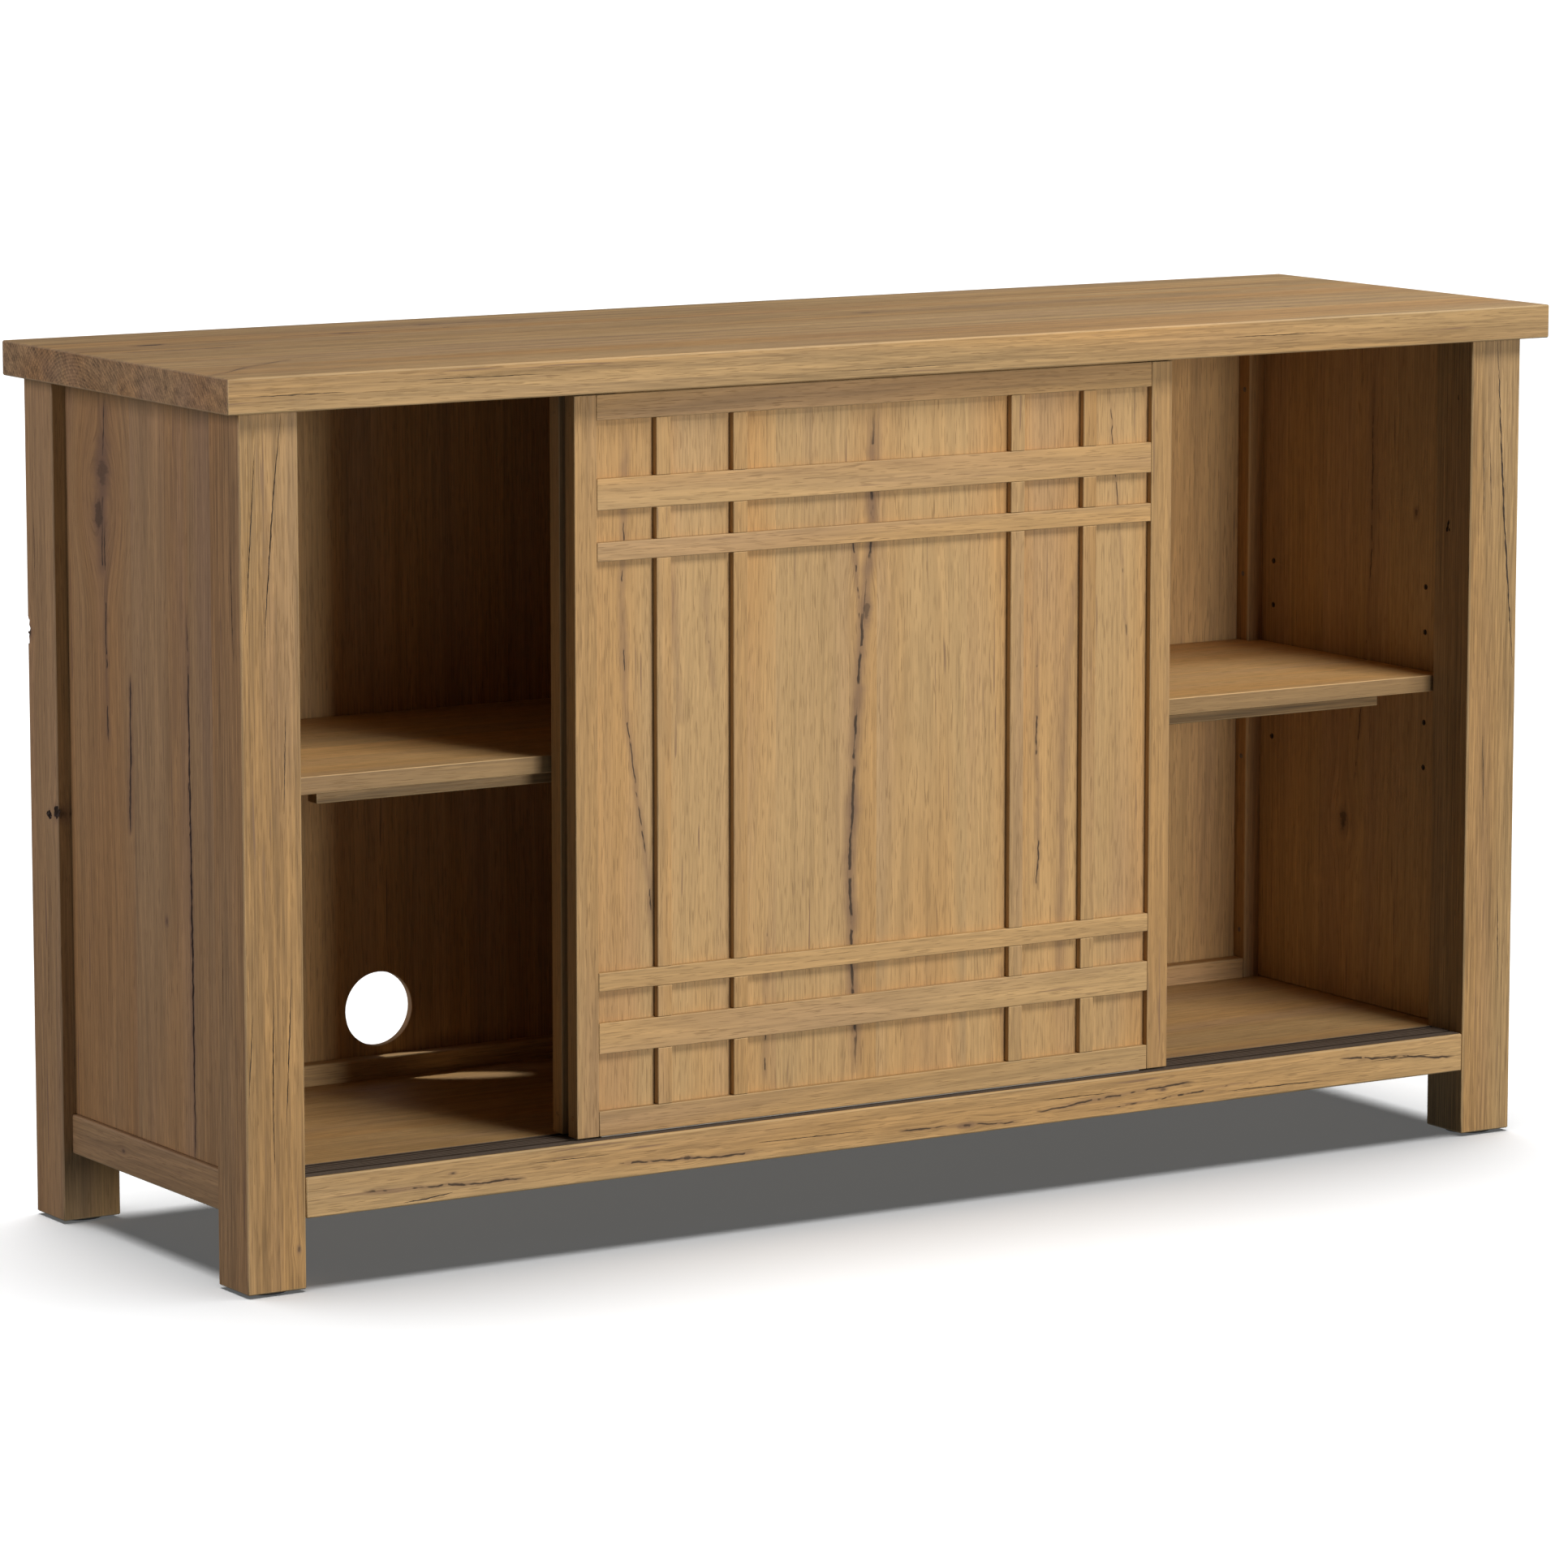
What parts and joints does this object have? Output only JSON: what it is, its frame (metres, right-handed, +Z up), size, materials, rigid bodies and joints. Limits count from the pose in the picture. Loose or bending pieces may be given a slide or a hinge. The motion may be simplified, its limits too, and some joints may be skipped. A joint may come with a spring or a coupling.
{
  "type": "media cabinet",
  "caption": "Low oak media cabinet on square legs, with bypass sliding doors, adjustable shelves and cable holes in the back.",
  "frame": {"origin": "on the floor, under the middle of the cabinet's bounding box", "axes": "+Z up, -Y out of the front where the doors are, +X to the right seen from the front"},
  "size_m": [1.524, 0.47, 0.864],
  "materials": {
    "solid_oak": "matt, wire-brushed solid oak with open grain, small checks and eased edges",
    "oak_veneer": "matt planked oak veneer with knots and filled cracks",
    "track_profile": "satin dark brown extrusion",
    "glide_plastic": "matt black moulding",
    "runner_nylon": "natural nylon, satin",
    "nickel_steel": "nickel-plated pressed steel"
  },
  "bodies": {
    "cabinet": {"back_panel": "oak_veneer", "bottom_track": "track_profile", "centre_divider": "oak_veneer", "floor_panel": "oak_veneer", "front_rail": "solid_oak", "glide_front_left": "glide_plastic", "glide_front_right": "glide_plastic", "glide_rear_left": "glide_plastic", "glide_rear_right": "glide_plastic", "leg_front_left": "solid_oak", "leg_front_right": "solid_oak", "leg_rear_left": "solid_oak", "leg_rear_right": "solid_oak", "rear_rail": "solid_oak", "shelf_left": "oak_veneer", "shelf_right": "oak_veneer", "shelf_stiffener_left": "solid_oak", "shelf_stiffener_right": "solid_oak", "shelf_support_left_inner_front": "nickel_steel", "shelf_support_left_inner_rear": "nickel_steel", "shelf_support_left_outer_front": "nickel_steel", "shelf_support_left_outer_rear": "nickel_steel", "shelf_support_right_inner_front": "nickel_steel", "shelf_support_right_inner_rear": "nickel_steel", "shelf_support_right_outer_front": "nickel_steel", "shelf_support_right_outer_rear": "nickel_steel", "side_panel_left": "oak_veneer", "side_panel_right": "oak_veneer", "side_stretcher_left": "solid_oak", "side_stretcher_right": "solid_oak", "top_slab": "oak_veneer", "top_track": "track_profile"},
    "door_front": {"door_front_bar_narrow_bottom": "solid_oak", "door_front_bar_narrow_top": "solid_oak", "door_front_bar_wide_bottom": "solid_oak", "door_front_bar_wide_top": "solid_oak", "door_front_panel": "oak_veneer", "door_front_rail_bottom": "solid_oak", "door_front_rail_top": "solid_oak", "door_front_runner": "runner_nylon", "door_front_stile_left": "solid_oak", "door_front_stile_right": "solid_oak", "door_front_upright_1": "solid_oak", "door_front_upright_2": "solid_oak", "door_front_upright_3": "solid_oak", "door_front_upright_4": "solid_oak"},
    "door_rear": {"door_rear_bar_narrow_bottom": "solid_oak", "door_rear_bar_narrow_top": "solid_oak", "door_rear_bar_wide_bottom": "solid_oak", "door_rear_bar_wide_top": "solid_oak", "door_rear_panel": "oak_veneer", "door_rear_rail_bottom": "solid_oak", "door_rear_rail_top": "solid_oak", "door_rear_runner": "runner_nylon", "door_rear_stile_left": "solid_oak", "door_rear_stile_right": "solid_oak", "door_rear_upright_1": "solid_oak", "door_rear_upright_2": "solid_oak", "door_rear_upright_3": "solid_oak", "door_rear_upright_4": "solid_oak"}
  },
  "joints": [
    {"name": "door_front_slide", "type": "slide", "parent": "cabinet", "child": "door_front", "axis": [1, 0, 0], "range_m": [-0.299, 0.367]},
    {"name": "door_rear_slide", "type": "slide", "parent": "cabinet", "child": "door_rear", "axis": [1, 0, 0], "range_m": [-0.299, 0.367]}
  ]
}
